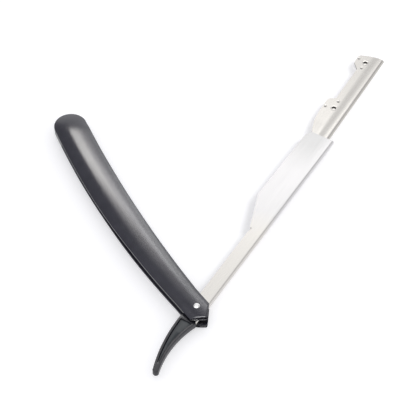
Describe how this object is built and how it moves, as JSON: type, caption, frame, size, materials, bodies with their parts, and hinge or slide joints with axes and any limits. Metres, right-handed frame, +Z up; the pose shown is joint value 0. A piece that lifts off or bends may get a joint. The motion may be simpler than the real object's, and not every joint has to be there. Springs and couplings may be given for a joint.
{
  "type": "shaving razor",
  "caption": "Folding barber's razor: a curved black handle, a folded sheet-metal arm with a curved finger rest, and a slide-out holder for a half blade.",
  "frame": {"origin": "centre of the bounding box of the opened razor as it lies, at table level", "axes": "+Z up from the table, +Y from the finger rest's end towards the blade holder's end, +X towards the arm's side, as pictured"},
  "size_m": [0.1708, 0.2024, 0.0094],
  "materials": {
    "black_plastic": "satin moulded plastic",
    "satin_steel": "satin stainless sheet",
    "white_nylon": "plain"
  },
  "bodies": {
    "handle": {"front_scale": "black_plastic", "rear_scale": "black_plastic", "handle_wedge": "black_plastic", "pivot_pin": "satin_steel", "front_collar": "satin_steel", "rear_collar": "satin_steel", "front_thrust_washer": "white_nylon", "rear_thrust_washer": "white_nylon"},
    "arm": {"arm_channel": "satin_steel", "tang": "black_plastic"},
    "holder": {"blade_holder": "satin_steel", "upper_blade_pin": "satin_steel", "lower_blade_pin": "satin_steel"}
  },
  "joints": [
    {"name": "handle_pivot", "type": "hinge", "parent": "handle", "child": "arm", "pos_m": [-0.01246, -0.06633, 0.0042], "axis": [0, 0, 1], "range_deg": [-275, 51.5]},
    {"name": "blade_holder_slide", "type": "slide", "parent": "arm", "child": "holder", "axis": [-0.4936, -0.8697, 0], "range_m": [0, 0.062]}
  ]
}
